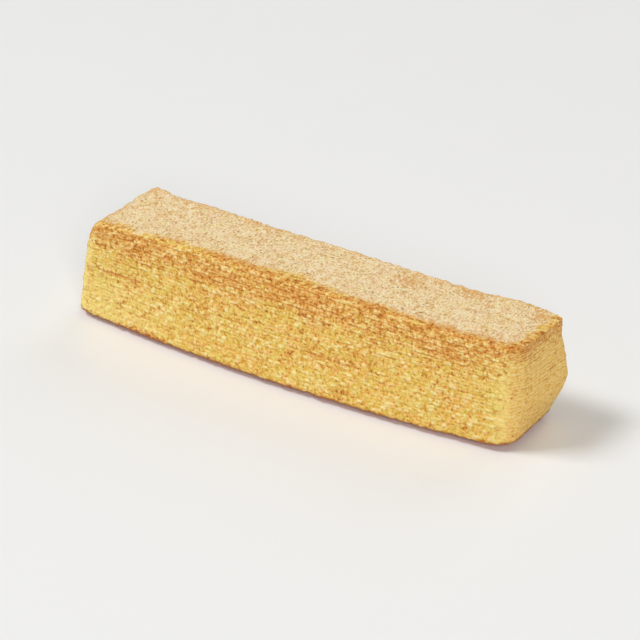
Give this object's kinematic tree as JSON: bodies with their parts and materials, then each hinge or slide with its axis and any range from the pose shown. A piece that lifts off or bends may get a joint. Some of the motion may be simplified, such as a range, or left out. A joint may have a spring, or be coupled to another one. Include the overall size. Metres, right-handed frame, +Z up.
{
  "type": "baumkuchen stick",
  "caption": "Stick of layered baumkuchen: a long bar of golden cake whose cut sides show level baked layers, with a pale browned skin on top and a slanted left end.",
  "frame": {"origin": "on the surface that the stick lies on, under the middle of its bounding box", "axes": "+X along the length towards the swollen right end, +Y from the front cut side to the back one, +Z up from the base to the browned skin"},
  "size_m": [0.1514, 0.0298, 0.0351],
  "materials": {
    "baked_cake": "matt golden crumb with thin browned lines between the layers, under a paler tan skin"
  },
  "bodies": {
    "root": {"baumkuchen": "baked_cake"}
  },
  "joints": []
}
